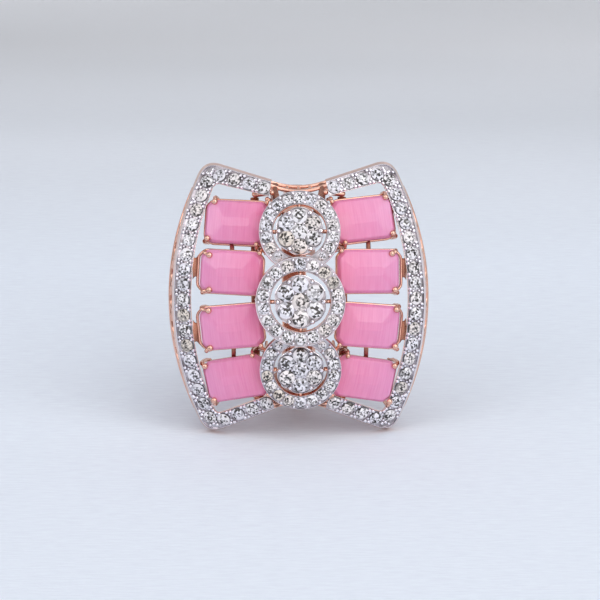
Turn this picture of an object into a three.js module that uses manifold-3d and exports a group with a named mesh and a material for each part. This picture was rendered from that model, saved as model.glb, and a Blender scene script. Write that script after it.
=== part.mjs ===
// A cocktail ring: a domed, bow-shaped head of three round diamond medallions and eight pink
// stones between two pave frames, on a plain band that is open under the head.
//
// The ring is built upright round the finger: X is the finger's axis, "height" is the distance
// from that axis towards the front of the head (-Y), and Z runs up the head. At the end the whole
// ring leans back until it stands on the head's two lower corners and the band, as it rests on a
// table. Sizes are in millimetres.
import * as THREE from "three";
import { mergeVertices } from "three/addons/utils/BufferGeometryUtils.js";
import Module from "manifold-3d";

const wasm = await Module();
wasm.setup();

// ---------------------------------------------------------------- driving dimensions
const GAP = 0.03; // between pieces that touch

const BAND = {
  inner: 8.65, // a US size 7 finger hole, 17.3 mm across
  thick: 1.6,
  width: 2.4,
  shoulder: 3.2, // its width beside the opening under the head
  openZ: 4.2, // the band stops here, on each side of that opening
  edge: 0.4, // bevel of the outer edges
};

const DOME_RADIUS = 25; // the frames' top surface lies on this sphere
const DOME_TOP = 15.0; // height of the sphere's top above the finger's axis

// A frame's outline in plan, [x, z]: a bulging side, a rounded corner and a straight arm.
const SIDE_X = 11.75; // half the head's width, at the middle of the side
const SIDE_RADIUS = 28; // the side's bulge
const RAIL_WIDTH = 1.62;
const ARM_ENDS = {
  top: { outer: [2.55, 10.97], inner: [2.8, 9.65] },
  bottom: { outer: [2.4, 10.25], inner: [2.75, 8.8] },
};
const CORNER_OUTER = [8.65, 12.8]; // where the arm's and the side's straight runs would meet
const CORNER_INNER = [7.8, 10.85];
const CORNER_CUT_OUTER = 1.4; // how far from there the rounding starts
const CORNER_CUT_INNER = 0.5;

const RAIL = { thick: 1.15, flare: 0.19, lip: 0.17, channel: 0.75 };
const RAIL_STONE = 1.3;
const RAIL_PITCH = 1.43;

const MEDALLION_PITCH = 6.5; // from the middle medallion to the next, along Z
const MEDALLION_TILT = THREE.MathUtils.degToRad(12.5);
const MIDDLE = { radius: 4.18, hole: 2.8, dish: 2.5, height: 16.1, thick: 1.1, stone: 1.08 };
const OUTER = { radius: 3.81, hole: 2.48, dish: 2.28, height: 14.7, thick: 0.72, stone: 1.0 };
const HALO_STONES = 18;
const HALO_LIP = 0.13;
const HALO_CHANNEL = 0.55;
const DISH = { thick: 1.0, rim: 0.1, floor: 0.75, stone: 0.59, stoneCircle: 0.625 };
const PIN_RADIUS = 0.2;
const GIRDLE_DEPTH = 0.1; // of every diamond below the metal round it
const THREAD_RADIUS = 0.08;

const GEM = { length: 6.0, width: 4.05, cut: 0.9, crown: 0.55, pavilion: 1.5 };
const GEM_STAND = 0.6; // how much of the dome's slope along Z a stone follows
const GEM_SEATS = [
  { row: "1", x: 6.0, z: 7.45, turn: 7, sink: 0.74 },
  { row: "2", x: 6.5, z: 2.65, turn: 2, sink: 0.55 },
  { row: "3", x: 6.5, z: -2.5, turn: 6, sink: 0.55 },
  { row: "4", x: 6.0, z: -7.5, turn: 12, sink: 0.74 },
]; // middle in plan, turn in degrees, and how far the girdle lies below the dome
const WIRE = { top: -0.45, bottom: -0.85, inset: 0.05, wall: 0.28, outerEnd: 0.24 };
const FOOT_WIRE = { top: -1.55, bottom: -1.9, inset: 0.45, wall: 0.35 };
const CLAW = { half: 0.19, ball: 0.34, tipReach: 0.16, tipLevel: 0.36 };
const STRUT = { x: 6.65, width: 0.42, thick: 0.4, gap: 0.27 };
const LINK = { width: 1.4, thick: 0.4, offset: 0.45, gap: 0.1 };

const GALLERY = { foot: 8.72, rail: 0.6, wall: 0.6, bulge: 0.44, endZ: 10.35, crossings: 8, strut: 0.34 };

const SPINE = {
  x: 4.1, width: 0.8, thick: 0.75, drop: 2.95, endZ: 9.7,
  post: 0.22, middleHead: [3.9, 0.15], outerHeads: [[3.15, 4.85], [3.15, -4.6]],
};
const LEG_FOOT = [2.06, 6.3, 8.15]; // where a strap's leg ends beside the band: x, height, z
// Two curved rails, each at one height; `middle` is its distance from the finger's axis along Z at
// x = 0, and it moves outwards by `rise` times x squared.
const STRAP = {
  outer: { height: 10.6, middle: 10.42, rise: 0.068 },
  inner: { height: 11.35, middle: 10.02, rise: 0.085 },
  halfLength: 2.45, rail: 0.33, depth: 0.42, posts: 7, postReach: 2.25,
  blockX: 2.08, blockFootZ: 10.5, blockHead: 13.15, blockHeadZ: 9.0, blockWidth: 0.55, blockDepth: 0.6,
  legX: 2.4, legZ: 10.45, leg: 0.4, bottomInset: 0.6,
};

// ---------------------------------------------------------------- materials
const metal = (color, roughness) => new THREE.MeshStandardMaterial({ color, roughness, metalness: 1 });
const ROSE_GOLD = metal(0xe2a07c, 0.22);
const WHITE_RHODIUM = metal(0xdcdce2, 0.25);
const PINK_STONE = new THREE.MeshStandardMaterial({ color: 0xe07fb0, roughness: 0.2, metalness: 0 });
const DIAMOND = new THREE.MeshStandardMaterial({ color: 0xf1f3f6, roughness: 0.05, metalness: 0 });

// ---------------------------------------------------------------- helpers
const at = (x, height, z) => new THREE.Vector3(x, -height, z);
const domeHeight = (x, z) => DOME_TOP - DOME_RADIUS + Math.sqrt(DOME_RADIUS ** 2 - x * x - z * z);
const steps = (count) => Array.from({ length: count + 1 }, (_, i) => i / count);
const mix = THREE.MathUtils.lerp;

// A geometry as a solid: shared vertices merged, collapsed triangles dropped, faces turned out.
function solid(geometry) {
  const bare = geometry.clone();
  bare.deleteAttribute("normal");
  bare.deleteAttribute("uv");
  const merged = mergeVertices(bare, 1e-4);
  const ids = merged.index.array;
  const kept = [];
  for (let i = 0; i < ids.length; i += 3) {
    const [a, b, c] = [ids[i], ids[i + 1], ids[i + 2]];
    if (a !== b && b !== c && a !== c) kept.push(a, b, c);
  }
  const vertProperties = Float32Array.from(merged.attributes.position.array);
  const build = (corners) =>
    new wasm.Manifold(new wasm.Mesh({ numProp: 3, vertProperties, triVerts: Uint32Array.from(corners) }));
  const made = build(kept);
  return made.volume() > 0 ? made : build(kept.reverse());
}

const join = (solids) => solids.reduce((whole, next) => whole.add(next));

// A closed geometry through a row of loops with the same number of points. With `outline`, the
// loop as 2-D points, both ends are capped; without it the last loop joins the first.
function loft(loops, outline = null) {
  const size = loops[0].length;
  const index = [];
  const rows = outline ? loops.length - 1 : loops.length;
  for (let i = 0; i < rows; i += 1) {
    const here = i * size;
    const next = ((i + 1) % loops.length) * size;
    for (let j = 0; j < size; j += 1) {
      const k = (j + 1) % size;
      index.push(here + j, here + k, next + k, here + j, next + k, next + j);
    }
  }
  if (outline) {
    const end = (loops.length - 1) * size;
    const turn = Math.sign(THREE.ShapeUtils.area(outline));
    for (const face of THREE.ShapeUtils.triangulateShape(outline, [])) {
      const follows = Math.sign(THREE.ShapeUtils.area(face.map((i) => outline[i]))) === turn;
      const [a, b, c] = follows ? face : [...face].reverse();
      index.push(c, b, a, end + a, end + b, end + c);
    }
  }
  const geometry = new THREE.BufferGeometry().setFromPoints(loops.flat());
  geometry.setIndex(index);
  return geometry;
}

const plan = ([x, z]) => new THREE.Vector2(x, z);
const SQUARE = [[-1, -1], [1, -1], [1, 1], [-1, 1]];

// A bar with a rectangular section. Each station has its middle and the two half sides.
function bar(stations) {
  const loops = stations.map(({ middle, across, up }) =>
    SQUARE.map(([a, b]) => middle.clone().addScaledVector(across, a).addScaledVector(up, b)),
  );
  return solid(loft(loops, SQUARE.map(plan)));
}

// A straight rectangular bar; its thickness lies along `up` as nearly as it can.
function beam(from, to, width, thick, up) {
  const along = to.clone().sub(from).normalize();
  const across = new THREE.Vector3().crossVectors(along, up).setLength(width / 2);
  const rise = new THREE.Vector3().crossVectors(across, along).setLength(thick / 2);
  return bar([from, to].map((middle) => ({ middle, across, up: rise })));
}

// A round rod from one point to another.
function rod(from, to, radius, sides = 6) {
  const along = to.clone().sub(from);
  const geometry = new THREE.CylinderGeometry(radius, radius, along.length(), sides);
  geometry.applyQuaternion(
    new THREE.Quaternion().setFromUnitVectors(new THREE.Vector3(0, 1, 0), along.normalize()),
  );
  const middle = from.clone().add(to).multiplyScalar(0.5);
  return solid(geometry.translate(middle.x, middle.y, middle.z));
}

const ball = (centre, radius) =>
  solid(new THREE.SphereGeometry(radius, 6, 4).translate(centre.x, centre.y, centre.z));

const turned = (section, segments) => {
  const profile = section.map(([r, h]) => new THREE.Vector2(r, h));
  return new THREE.LatheGeometry(profile, segments).rotateX(Math.PI / 2);
};

const FRONT = new THREE.Vector3(0, -1, 0);

// The frame of a piece on the head: its X lies along `along`, its Z faces `out`.
function seat(position, out, along) {
  const z = out.clone().normalize();
  const x = along.clone().addScaledVector(z, -along.dot(z)).normalize();
  return new THREE.Matrix4().makeBasis(x, new THREE.Vector3().crossVectors(z, x), z).setPosition(position);
}

// The same, on the dome at plan position x, z, with `lift` along the dome's outward direction.
function domeSeat(x, z, lift, along = new THREE.Vector3(1, 0, 0)) {
  const out = new THREE.Vector3(x, -Math.sqrt(DOME_RADIUS ** 2 - x * x - z * z), z).normalize();
  return seat(at(x, domeHeight(x, z), z).addScaledVector(out, lift), out, along);
}

// ---------------------------------------------------------------- the assembly
const ring = new THREE.Group();

function piece(name, made, material, place = new THREE.Matrix4()) {
  const { vertProperties, triVerts } = made.getMesh();
  const geometry = new THREE.BufferGeometry();
  geometry.setAttribute("position", new THREE.BufferAttribute(Float32Array.from(vertProperties), 3));
  geometry.setIndex(new THREE.BufferAttribute(Uint32Array.from(triVerts), 1));
  const mesh = new THREE.Mesh(geometry, material.clone());
  mesh.name = name;
  mesh.applyMatrix4(place);
  mesh.updateMatrix();
  ring.add(mesh);
}

const SIDES = [["left", -1], ["right", 1]];
const ENDS = [["top", 1], ["bottom", -1]];

// ---------------------------------------------------------------- diamonds
// A row of brilliants, joined by a thin thread through their girdles so that the row is one body.
// `links` are pairs of stones.
function diamondRow(stones, links) {
  const centres = stones.map(({ place }) => new THREE.Vector3().setFromMatrixPosition(place));
  const cut = stones.map(({ place, size }) => {
    const section = [[0, -0.42], [0.5, 0], [0.3, 0.14], [0, 0.14]].map(([r, h]) => [r * size, h * size]);
    return solid(turned(section, 6).applyMatrix4(place));
  });
  const threads = links.map(([a, b]) => rod(centres[a], centres[b], THREAD_RADIUS, 3));
  return join([...cut, ...threads]);
}

const chain = (count) => Array.from({ length: count - 1 }, (_, i) => [i, i + 1]);

// ---------------------------------------------------------------- band
function band() {
  const middleRadius = BAND.inner + BAND.thick / 2;
  const open = Math.asin(BAND.openZ / middleRadius);
  const section = (width) => {
    const half = width / 2;
    const top = BAND.thick;
    return [
      [half, 0], [half, top - BAND.edge], [half - BAND.edge, top],
      [-half + BAND.edge, top], [-half, top - BAND.edge], [-half, 0],
    ];
  };
  const loops = steps(60).map((t) => {
    const angle = mix(open, 2 * Math.PI - open, t);
    // The band widens only over the front half, so the back half's sides are flat.
    const widen = THREE.MathUtils.smoothstep(Math.cos(angle), 0, Math.cos(open));
    return section(mix(BAND.width, BAND.shoulder, widen)).map(([x, r]) => {
      const radius = BAND.inner + r;
      return at(x, radius * Math.cos(angle), radius * Math.sin(angle));
    });
  });
  return solid(loft(loops, section(BAND.width).map(plan)));
}
piece("band", band(), ROSE_GOLD);

// ---------------------------------------------------------------- pave frames
const onCircle = (edgeX, radius, z) => edgeX - radius + Math.sqrt(radius ** 2 - z * z);

// Half of one edge of a frame in plan, from the arm's end round the corner to the side's middle.
function frameEdge(armEnd, corner, cut, sideX, sideRadius) {
  const start = plan(armEnd);
  const tip = plan(corner);
  const armCut = tip.clone().add(start.clone().sub(tip).setLength(cut));
  const sideCutZ = tip.y - cut * 0.9;
  const side = steps(9).map((t) => {
    const z = mix(sideCutZ, 0, t);
    return new THREE.Vector2(onCircle(sideX, sideRadius, z), z);
  });
  const arm = steps(5).map((t) => start.clone().lerp(armCut, t));
  const bend = new THREE.QuadraticBezierCurve(armCut, tip, side[0]).getPoints(6);
  return [...arm.slice(0, -1), ...bend, ...side.slice(1)];
}

// A whole edge from the top arm's end to the bottom one's; `half` makes each half from its arm end.
const wholeEdge = (half) => [
  ...half(ARM_ENDS.top),
  ...half(ARM_ENDS.bottom).slice(0, -1).reverse().map((p) => new THREE.Vector2(p.x, -p.y)),
];
const OUTER_EDGE = wholeEdge(({ outer }) =>
  frameEdge(outer, CORNER_OUTER, CORNER_CUT_OUTER, SIDE_X, SIDE_RADIUS),
);
const INNER_EDGE = wholeEdge(({ inner }) =>
  frameEdge(inner, CORNER_INNER, CORNER_CUT_INNER, SIDE_X - RAIL_WIDTH, SIDE_RADIUS - RAIL_WIDTH),
);

// The plate's section at one station, a trough for the diamonds: distance inwards and drop.
function railSection(width) {
  return [
    [-RAIL.flare, RAIL.thick], [width, RAIL.thick], [width, 0], [width - RAIL.lip, 0],
    [width - RAIL.lip, RAIL.channel], [RAIL.lip, RAIL.channel], [RAIL.lip, 0], [0, 0],
  ];
}

function framePlate(side) {
  const loops = OUTER_EDGE.map((outer, i) => {
    const width = outer.distanceTo(INNER_EDGE[i]);
    return railSection(width).map(([inwards, drop]) => {
      const { x, y: z } = outer.clone().lerp(INNER_EDGE[i], inwards / width);
      return at(side * x, domeHeight(x, z) - drop, z);
    });
  });
  return solid(loft(loops, railSection(RAIL_WIDTH).map(([a, b]) => new THREE.Vector2(a, -b))));
}

// Points in equal steps along one half of the trough's middle line, from the side to the arm's end.
function spread(line) {
  const lengths = line.slice(1).map((station, i) => station.point.distanceTo(line[i].point));
  const total = lengths.reduce((sum, length) => sum + length, 0) - RAIL_STONE / 2 - GAP;
  const pitch = total / Math.round(total / RAIL_PITCH);
  const spots = [];
  let passed = 0;
  lengths.forEach((length, i) => {
    const [a, b] = [line[i], line[i + 1]];
    while (passed + length >= pitch * (spots.length + 1) && spots.length < total / pitch - 0.5) {
      const t = (pitch * (spots.length + 1) - passed) / length;
      spots.push({ point: a.point.clone().lerp(b.point, t), width: mix(a.width, b.width, t) });
    }
    passed += length;
  });
  return spots;
}

function frameDiamonds(side) {
  const line = OUTER_EDGE.map((outer, i) => ({
    point: outer.clone().lerp(INNER_EDGE[i], 0.5),
    width: outer.distanceTo(INNER_EDGE[i]) - 2 * RAIL.lip,
  }));
  const middle = (line.length - 1) / 2;
  const upper = spread(line.slice(0, middle + 1).reverse()).reverse();
  const spots = [...upper, line[middle], ...spread(line.slice(middle))];
  const row = spots.map(({ point, width }) => {
    // A stone lies in the dome's slope, so it is wider than it looks in plan.
    const slope = Math.cos(Math.asin(point.length() / DOME_RADIUS));
    const size = Math.min(RAIL_STONE, (width - 2 * GAP) / slope);
    return { size, place: domeSeat(side * point.x, point.y, -GIRDLE_DEPTH) };
  });
  return diamondRow(row, chain(row.length));
}

for (const [name, side] of SIDES) {
  piece(`frame_${name}`, framePlate(side), WHITE_RHODIUM);
  piece(`frame_${name}_diamonds`, frameDiamonds(side), DIAMOND);
}

// ---------------------------------------------------------------- side galleries
// Openwork under each frame's side: a foot rail, and crossing struts up to the frame.
function gallery(side) {
  const footMiddle = GALLERY.foot + GALLERY.rail / 2;
  const plateFoot = (x, z) => domeHeight(x, z) - RAIL.thick;
  const footX = (z) => {
    const outside = RAIL.flare + GALLERY.bulge * depthShare(z);
    return onCircle(SIDE_X, SIDE_RADIUS, z) + outside - GALLERY.wall / 2;
  };
  const rail = steps(20).map((t) => {
    const z = mix(-GALLERY.endZ, GALLERY.endZ, t);
    return {
      middle: at(side * footX(z), footMiddle, z),
      across: new THREE.Vector3(GALLERY.wall / 2, 0, 0),
      up: new THREE.Vector3(0, -GALLERY.rail / 2, 0),
    };
  });
  const bars = [bar(rail)];
  const out = new THREE.Vector3(side, 0, 0);
  const edgeZ = (i) => mix(-GALLERY.endZ, GALLERY.endZ, (i + 0.5) / (GALLERY.crossings + 1));
  for (let i = 0; i < GALLERY.crossings; i += 1) {
    for (const [from, to] of [[edgeZ(i), edgeZ(i + 1)], [edgeZ(i + 1), edgeZ(i)]]) {
      const headX = onCircle(SIDE_X, SIDE_RADIUS, to) - GALLERY.strut / 2;
      const foot = at(side * footX(from), footMiddle, from);
      const head = at(side * headX, plateFoot(headX, to) - GALLERY.strut / 2 - 4 * GAP, to);
      bars.push(beam(foot, head, GALLERY.strut, GALLERY.strut, out));
    }
  }
  return join(bars);
}

// How deep the gallery is at z, against its middle.
function depthShare(z) {
  const depth = (v) => domeHeight(onCircle(SIDE_X, SIDE_RADIUS, v), v) - RAIL.thick - GALLERY.foot;
  return Math.max(0, depth(z) / depth(0));
}

for (const [name, side] of SIDES) piece(`gallery_${name}`, gallery(side), ROSE_GOLD);

// ---------------------------------------------------------------- medallions
const MEDALLIONS = [
  { name: "top", spec: OUTER, end: 1 },
  { name: "middle", spec: MIDDLE, end: 0 },
  { name: "bottom", spec: OUTER, end: -1 },
];

function medallionSeat({ spec, end }) {
  const tilt = end * MEDALLION_TILT;
  const out = new THREE.Vector3(0, -Math.cos(tilt), Math.sin(tilt));
  return seat(at(0, spec.height, end * MEDALLION_PITCH), out, new THREE.Vector3(1, 0, 0));
}

// The space inside the middle medallion's wall, which cuts the outer medallions short.
const middleSpace = solid(
  new THREE.CylinderGeometry(MIDDLE.radius + GAP, MIDDLE.radius + GAP, 8, 40).translate(0, -MIDDLE.height, 0),
);

function halo(medallion) {
  const { radius, hole, thick } = medallion.spec;
  const section = [
    [hole, 0], [hole, -thick], [radius, -thick], [radius, 0], [radius - HALO_LIP, 0],
    [radius - HALO_LIP, -HALO_CHANNEL], [hole + HALO_LIP, -HALO_CHANNEL], [hole + HALO_LIP, 0], [hole, 0],
  ];
  const plate = solid(turned(section, 40).applyMatrix4(medallionSeat(medallion)));
  return medallion.end === 0 ? plate : plate.subtract(middleSpace);
}

function haloDiamonds(medallion) {
  const { spec, end } = medallion;
  const circle = (spec.radius + spec.hole) / 2;
  const half = HALO_STONES / 2;
  const stones = [];
  for (let i = -half + 1; i <= half; i += 1) {
    const angle = Math.PI / 2 + (i / half) * Math.PI;
    const far = end < 0 ? -1 : 1; // the row starts from the medallion's far end
    const spot = new THREE.Matrix4().makeTranslation(
      circle * Math.cos(angle),
      circle * Math.sin(angle) * far,
      -GIRDLE_DEPTH,
    );
    const place = medallionSeat(medallion).multiply(spot);
    const { x, z } = new THREE.Vector3().setFromMatrixPosition(place);
    const clear = end === 0 || Math.hypot(x, z) > MIDDLE.radius + spec.stone / 2 + 2 * GAP;
    if (clear) stones.push({ place, size: spec.stone });
  }
  const links = chain(stones.length);
  return diamondRow(stones, end === 0 ? [...links, [stones.length - 1, 0]] : links);
}

// The dish that holds seven diamonds, with its pins out to the halo.
function dish(medallion) {
  const { spec, end } = medallion;
  const inner = spec.dish - DISH.rim;
  const section = [
    [0, -DISH.thick], [spec.dish, -DISH.thick], [spec.dish, 0],
    [inner, 0], [inner, -DISH.floor], [0, -DISH.floor],
  ];
  const place = medallionSeat(medallion);
  const parts = [solid(turned(section, 32).applyMatrix4(place))];
  for (const [x, y] of [[1, 0], [-1, 0], [0, 1], [0, -1]]) {
    if (end !== 0 && y === -end) continue; // the middle medallion's wall stands there
    const level = -DISH.floor / 2;
    const from = new THREE.Vector3(x, y, 0).multiplyScalar(spec.dish - DISH.rim / 2).setZ(level);
    const to = new THREE.Vector3(x, y, 0).multiplyScalar(spec.hole - GAP).setZ(level);
    parts.push(rod(from.applyMatrix4(place), to.applyMatrix4(place), PIN_RADIUS));
  }
  return join(parts);
}

function dishDiamonds(medallion) {
  const { spec } = medallion;
  const stones = [];
  for (let i = 0; i < 7; i += 1) {
    const reach = i === 0 ? 0 : spec.dish * DISH.stoneCircle;
    const angle = Math.PI / 2 + (i * Math.PI) / 3;
    const spot = new THREE.Matrix4().makeTranslation(
      reach * Math.cos(angle),
      reach * Math.sin(angle),
      -GIRDLE_DEPTH,
    );
    stones.push({ place: medallionSeat(medallion).multiply(spot), size: spec.dish * DISH.stone });
  }
  return diamondRow(stones, [1, 2, 3, 4, 5, 6].map((i) => [0, i]));
}

for (const medallion of MEDALLIONS) {
  const { name } = medallion;
  piece(`halo_${name}`, halo(medallion), WHITE_RHODIUM);
  piece(`halo_${name}_diamonds`, haloDiamonds(medallion), DIAMOND);
  piece(`cluster_${name}`, dish(medallion), WHITE_RHODIUM);
  piece(`cluster_${name}_diamonds`, dishDiamonds(medallion), DIAMOND);
}

// ---------------------------------------------------------------- pink stones and their baskets
// A stone's own frame: X towards the frame's side rail, Y across, Z out of the head, 0 at its girdle.
function gemSeat({ x, z, turn, sink }, side) {
  const angle = THREE.MathUtils.degToRad(turn);
  const along = new THREE.Vector3(side * Math.cos(angle), 0, Math.sign(z) * Math.sin(angle));
  const depth = Math.sqrt(DOME_RADIUS ** 2 - x * x - z * z);
  const out = new THREE.Vector3(side * x, -depth, z * GEM_STAND).normalize();
  return seat(at(side * x, domeHeight(x, z), z).addScaledVector(out, -sink), out, along);
}

// The stone's outline, a rectangle with cut corners, drawn in by `inset`; `stretch` moves only its
// outer end.
function gemOutline(inset, stretch = 0) {
  const a = GEM.length / 2 - inset;
  const b = GEM.width / 2 - inset;
  const c = Math.max(GEM.cut - inset * 0.4, 0.15);
  const outline = [
    [a, b - c], [a - c, b], [c - a, b], [-a, b - c],
    [-a, c - b], [c - a, -b], [a - c, -b], [a, c - b],
  ];
  return outline.map(([x, y]) => [x > 0 ? x + stretch : x, y]);
}

function gem() {
  // Inset and height of each level, from the foot up over the girdle to the domed top.
  const levels = [
    [1.7, -GEM.pavilion], [0.9, -0.85], [0, -0.1],
    [0, 0], [0.3, 0.34], [0.7, 0.47], [1.5, GEM.crown],
  ];
  const loops = levels.map(([inset, h]) => gemOutline(inset).map(([x, y]) => new THREE.Vector3(x, y, h)));
  return solid(loft(loops, gemOutline(0).map(plan)));
}

function wire({ top, bottom, inset, wall }, stretch) {
  const outer = gemOutline(inset, stretch);
  const inner = gemOutline(inset + wall, stretch);
  const loops = outer.map(([ox, oy], i) => {
    const [ix, iy] = inner[i];
    const corners = [[ix, iy, top], [ox, oy, top], [ox, oy, bottom], [ix, iy, bottom]];
    return corners.map((p) => new THREE.Vector3(...p));
  });
  return loft(loops);
}

// Two wires and four claws. A claw that a medallion covers ends at the upper wire.
function basket(side, { row, z }) {
  const outerRow = row === "1" || row === "4";
  const parts = [
    solid(wire(WIRE, outerRow ? 0 : WIRE.outerEnd)),
    solid(wire(FOOT_WIRE, 0)),
  ];
  const far = side * Math.sign(z); // the sign of Y on the stone's side away from the head's middle
  const cornerX = GEM.length / 2 - GEM.cut / 2;
  const cornerY = GEM.width / 2 - GEM.cut / 2;
  for (const [sx, sy] of SQUARE) {
    // At a frame's corner the claw stands on the stone's long side, clear of the side rail.
    const squeezed = outerRow && sx > 0 && sy === far;
    const lean = squeezed ? new THREE.Vector2(0.3, sy * 0.954) : new THREE.Vector2(sx, sy).normalize();
    const edge = squeezed
      ? new THREE.Vector2(GEM.length / 2 - GEM.cut, (sy * GEM.width) / 2)
      : new THREE.Vector2(sx * cornerX, sy * cornerY);
    const station = (reach, h) => ({
      middle: new THREE.Vector3(edge.x + lean.x * reach, edge.y + lean.y * reach, h),
      across: new THREE.Vector3(-lean.y, lean.x, 0).multiplyScalar(CLAW.half),
      up: new THREE.Vector3(lean.x, lean.y, 0).multiplyScalar(CLAW.half),
    });
    const footLevel = (FOOT_WIRE.top + FOOT_WIRE.bottom) / 2;
    const stations = [station(-0.62, footLevel), station(CLAW.half + 2 * GAP, -0.45)];
    const covered = sx < 0 && (outerRow || sy !== far);
    const tip = station(CLAW.tipReach, CLAW.tipLevel);
    if (!covered) stations.push(tip);
    parts.push(bar(stations));
    if (!covered) parts.push(ball(tip.middle, CLAW.ball));
  }
  return join(parts);
}

for (const [sideName, side] of SIDES) {
  for (const spec of GEM_SEATS) {
    const place = gemSeat(spec, side);
    piece(`gem_${sideName}_${spec.row}`, gem(), PINK_STONE, place);
    piece(`basket_${sideName}_${spec.row}`, basket(side, spec), ROSE_GOLD, place);
  }
}

// ---------------------------------------------------------------- struts and links
// A point on the outside of a basket's upper wire, at its middle height.
const WIRE_LEVEL = (WIRE.top + WIRE.bottom) / 2;
const wirePoint = (spec, side, x, y) => new THREE.Vector3(x, y, WIRE_LEVEL).applyMatrix4(gemSeat(spec, side));

for (const [sideName, side] of SIDES) {
  for (const [endName, end] of ENDS) {
    const [far, near] = end > 0 ? [GEM_SEATS[0], GEM_SEATS[1]] : [GEM_SEATS[3], GEM_SEATS[2]];
    const edge = GEM.width / 2 - WIRE.inset + STRUT.gap;
    const from = wirePoint(near, side, STRUT.x - near.x, side * end * edge);
    const to = wirePoint(far, side, STRUT.x - far.x, -side * end * edge).setX(from.x);
    piece(`strut_${sideName}_${endName}`, beam(from, to, STRUT.width, STRUT.thick, FRONT), ROSE_GOLD);

    // The link from the inner row's basket to the side rail.
    const reach = GEM.length / 2 - WIRE.inset + WIRE.outerEnd + LINK.gap;
    const start = wirePoint(near, side, reach, side * end * LINK.offset);
    const farZ = start.z + (end * LINK.width) / 2;
    const railX = onCircle(SIDE_X - RAIL_WIDTH, SIDE_RADIUS - RAIL_WIDTH, farZ);
    const finish = start.clone().setX(side * (railX - GAP));
    piece(`link_${sideName}_${endName}`, beam(start, finish, LINK.width, LINK.thick, FRONT), ROSE_GOLD);
  }
}

// ---------------------------------------------------------------- spines under the stones
// An arched rail under each column of stones, with posts up to the medallions.
function spine(side) {
  const top = (z) => domeHeight(SPINE.x, z) - SPINE.drop;
  const rail = steps(18).map((t) => {
    const z = mix(-SPINE.endZ, SPINE.endZ, t);
    return {
      middle: at(side * SPINE.x, top(z) - SPINE.thick / 2, z),
      across: new THREE.Vector3(SPINE.width / 2, 0, 0),
      up: new THREE.Vector3(0, -SPINE.thick / 2, 0),
    };
  });
  // The posts' heads: x, height and z, between the rows of stones.
  const outerFoot = OUTER.height - OUTER.thick / Math.cos(MEDALLION_TILT) - 4 * GAP;
  const underOuter = (z) => outerFoot + (MEDALLION_PITCH - Math.abs(z)) * Math.tan(MEDALLION_TILT);
  const [middleX, middleZ] = SPINE.middleHead;
  const posts = [
    [middleX, MIDDLE.height - MIDDLE.thick - GAP, middleZ],
    ...SPINE.outerHeads.map(([x, z]) => [x, underOuter(z), z]),
  ];
  const rods = posts.map(([x, height, z]) =>
    rod(at(side * SPINE.x, top(z) - SPINE.thick / 2, z), at(side * x, height, z), SPINE.post),
  );
  return join([bar(rail), ...rods]);
}
for (const [name, side] of SIDES) piece(`spine_${name}`, spine(side), ROSE_GOLD);

// ---------------------------------------------------------------- straps across the two notches
// Two rails with posts between them across the notch, two blocks up to the medallion and two legs
// down to the band's shoulder.
function strap(end) {
  const inset = end > 0 ? 0 : STRAP.bottomInset;
  const onRail = ({ height, middle, rise }, x) => at(x, height, end * (middle - inset + rise * x * x));
  const rails = [STRAP.outer, STRAP.inner].map((rail) =>
    bar(
      steps(12).map((t) => ({
        middle: onRail(rail, mix(-STRAP.halfLength, STRAP.halfLength, t)),
        across: new THREE.Vector3(0, 0, STRAP.rail / 2),
        up: new THREE.Vector3(0, -STRAP.depth / 2, 0),
      })),
    ),
  );
  const parts = [...rails];
  const acrossX = new THREE.Vector3(1, 0, 0);
  for (const t of steps(STRAP.posts - 1)) {
    const x = mix(-STRAP.postReach, STRAP.postReach, t);
    parts.push(beam(onRail(STRAP.outer, x), onRail(STRAP.inner, x), STRAP.rail, STRAP.rail, acrossX));
  }
  for (const side of [-1, 1]) {
    const blockFoot = at(side * STRAP.blockX, STRAP.outer.height, end * (STRAP.blockFootZ - inset));
    const blockHead = at(side * STRAP.blockX, STRAP.blockHead, end * STRAP.blockHeadZ);
    parts.push(beam(blockFoot, blockHead, STRAP.blockDepth, STRAP.blockWidth, acrossX));
    const legHead = at(side * STRAP.legX, STRAP.outer.height, end * (STRAP.legZ - inset));
    const [footX, footHeight, footZ] = LEG_FOOT;
    const legFoot = at(side * footX, footHeight, end * footZ);
    parts.push(rod(legHead, legFoot, STRAP.leg, 8));
  }
  return join(parts);
}
for (const [name, end] of ENDS) piece(`strap_${name}`, strap(end), ROSE_GOLD);

// ---------------------------------------------------------------- stand the ring on the table
// The lowest point, with the head leaning back by `lean`, of the vertices on one side of the
// finger's axis: the head's when `front` is true, the band's back otherwise.
function lowest(lean, front) {
  let low = Infinity;
  const p = new THREE.Vector3();
  for (const mesh of ring.children) {
    const { position } = mesh.geometry.attributes;
    for (let i = 0; i < position.count; i += 1) {
      p.fromBufferAttribute(position, i).applyMatrix4(mesh.matrix);
      const inHead = mesh.name !== "band";
      if (inHead === front) low = Math.min(low, p.z * Math.cos(lean) - p.y * Math.sin(lean));
    }
  }
  return low;
}

// The head drops below the band when the ring stands upright, and rises as it leans back.
let [upright, leaning] = [0, Math.PI / 4];
for (let i = 0; i < 24; i += 1) {
  const lean = (upright + leaning) / 2;
  if (lowest(lean, true) < lowest(lean, false)) upright = lean;
  else leaning = lean;
}
ring.rotation.x = -leaning;
ring.updateMatrixWorld(true);
const bounds = new THREE.Box3().setFromObject(ring, true);
const middle = bounds.getCenter(new THREE.Vector3());
ring.position.set(-middle.x, -middle.y, -bounds.min.z);

export default ring;
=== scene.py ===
"""The cocktail ring's looks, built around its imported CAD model.

Shapes are worked out in millimetres in the ring's own frame: X along the finger's axis, "height"
from that axis towards the front of the head, and z up the head. RING takes them to the row frame.
"""

import math
import random

import bmesh
import bpy
from mathutils import Matrix, Vector


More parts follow.
